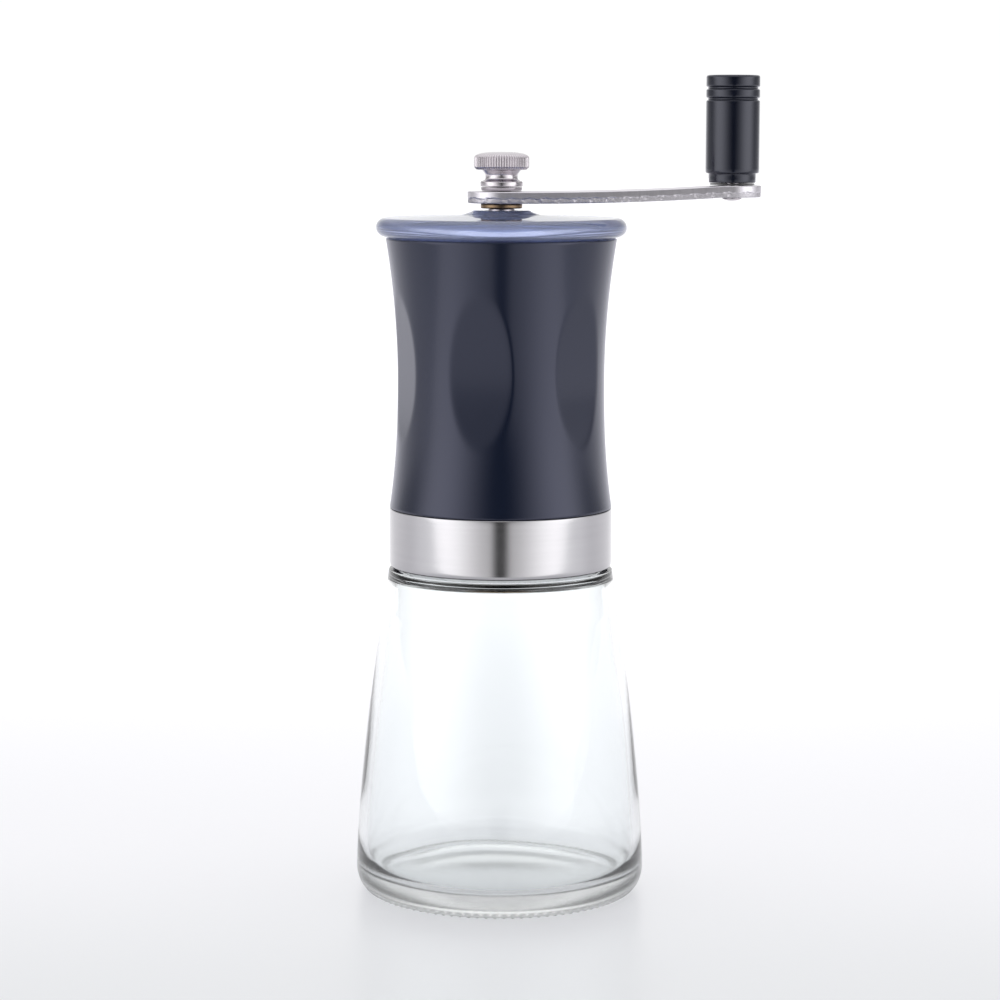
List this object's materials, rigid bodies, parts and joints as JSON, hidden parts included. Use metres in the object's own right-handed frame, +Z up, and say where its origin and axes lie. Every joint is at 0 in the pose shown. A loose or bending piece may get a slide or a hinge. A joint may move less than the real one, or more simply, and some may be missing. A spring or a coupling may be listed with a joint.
{
  "type": "hand crank coffee grinder",
  "caption": "Hand crank coffee grinder: flared glass jar, waisted black body with grip dimples, clear lid and flat steel crank with a turned knob.",
  "frame": {"origin": "on the axis of the grinder, at the centre of the jar's flat underside, which rests on the table", "axes": "+Z up along the shaft, +X from the shaft towards the crank's knob at rest"},
  "size_m": [0.1076, 0.0778, 0.2195],
  "materials": {
    "clear_glass": "polished clear soda glass with a faint green-blue tint",
    "tinted_acrylic": "polished clear acrylic with a pale blue-violet tint",
    "black_plastic": "satin black with a blue cast",
    "dark_plastic": "moulded matt black",
    "acetal": "natural white bearing plastic",
    "ceramic": "unglazed white ceramic",
    "silicone": "soft translucent grey",
    "brushed_steel": "brushed round the band",
    "crank_steel": "blanked steel strip, brushed faces and a sheared edge",
    "turned_steel": "turned and bright",
    "spring_steel": "drawn wire and stamped sheet",
    "brass": "turned and bright",
    "anodised_black": "satin black, turned"
  },
  "bodies": {
    "jar": {"jar": "clear_glass"},
    "gasket": {"jar_gasket": "silicone"},
    "upper_unit": {"jar_collar": "dark_plastic", "steel_band": "brushed_steel", "body_shell": "black_plastic", "hopper": "dark_plastic", "upper_bridge": "dark_plastic", "upper_bush": "acetal", "lower_bridge": "dark_plastic", "lower_bush": "acetal", "burr_housing": "dark_plastic", "outer_burr": "ceramic", "housing_screw_1": "turned_steel", "housing_screw_2": "turned_steel", "housing_screw_3": "turned_steel"},
    "shaft": {"drive_shaft": "turned_steel", "shaft_collar": "brass", "burr_spring": "spring_steel", "spring_washer": "spring_steel"},
    "burr": {"inner_burr": "ceramic", "burr_driver": "acetal", "click_plate": "spring_steel"},
    "adjuster": {"adjusting_nut": "brass"},
    "lid": {"lid": "tinted_acrylic"},
    "crank": {"crank_arm": "crank_steel", "drive_ring": "brass", "knob_pin": "turned_steel", "knob_washer": "dark_plastic", "pin_clip": "spring_steel"},
    "knob": {"knob": "anodised_black", "knob_cap": "anodised_black"},
    "nut_washer": {"nut_washer": "turned_steel"},
    "crank_nut": {"crank_nut": "turned_steel"}
  },
  "joints": [
    {"name": "jar_rise", "type": "slide", "parent": "jar", "child": "gasket", "axis": [0, 0, 1], "range_m": [0, 0.00501]},
    {"name": "jar_unscrew", "type": "hinge", "parent": "gasket", "child": "upper_unit", "pos_m": [0, 0, 0.094], "axis": [0, 0, 1], "range_deg": [0, 450]},
    {"name": "crank_turn", "type": "hinge", "parent": "upper_unit", "child": "shaft", "pos_m": [0, 0, 0.15], "axis": [0, 0, 1], "continuous": true},
    {"name": "burr_shift", "type": "slide", "parent": "shaft", "child": "burr", "axis": [0, 0, 1], "range_m": [0, 0.00081], "deforming": ["burr_spring"]},
    {"name": "grind_adjust", "type": "hinge", "parent": "burr", "child": "adjuster", "pos_m": [0, 0, 0.0889], "axis": [0, 0, 1], "range_deg": [0, 288]},
    {"name": "lid_lift", "type": "slide", "parent": "upper_unit", "child": "lid", "axis": [0, 0, 1], "range_m": [0, 0.0301]},
    {"name": "crank_lift", "type": "slide", "parent": "shaft", "child": "crank", "axis": [0, 0, 1], "range_m": [0, 0.06]},
    {"name": "knob_spin", "type": "hinge", "parent": "crank", "child": "knob", "pos_m": [0.0612, 0, 0.2], "axis": [0, 0, 1], "continuous": true},
    {"name": "nut_rise", "type": "slide", "parent": "crank", "child": "nut_washer", "axis": [0, 0, 1], "range_m": [0, 0.00641]},
    {"name": "nut_turn", "type": "hinge", "parent": "nut_washer", "child": "crank_nut", "pos_m": [0, 0, 0.195], "axis": [0, 0, 1], "range_deg": [0, 2880]}
  ],
  "couplings": [
    {"joint": "jar_rise", "follows": "jar_unscrew", "m_per_rad": 0.00063662},
    {"joint": "burr_shift", "follows": "grind_adjust", "m_per_rad": 0.00015915},
    {"joint": "lid_lift", "follows": "crank_lift", "ratio": 0.5},
    {"joint": "nut_rise", "follows": "nut_turn", "m_per_rad": 0.00012732}
  ]
}
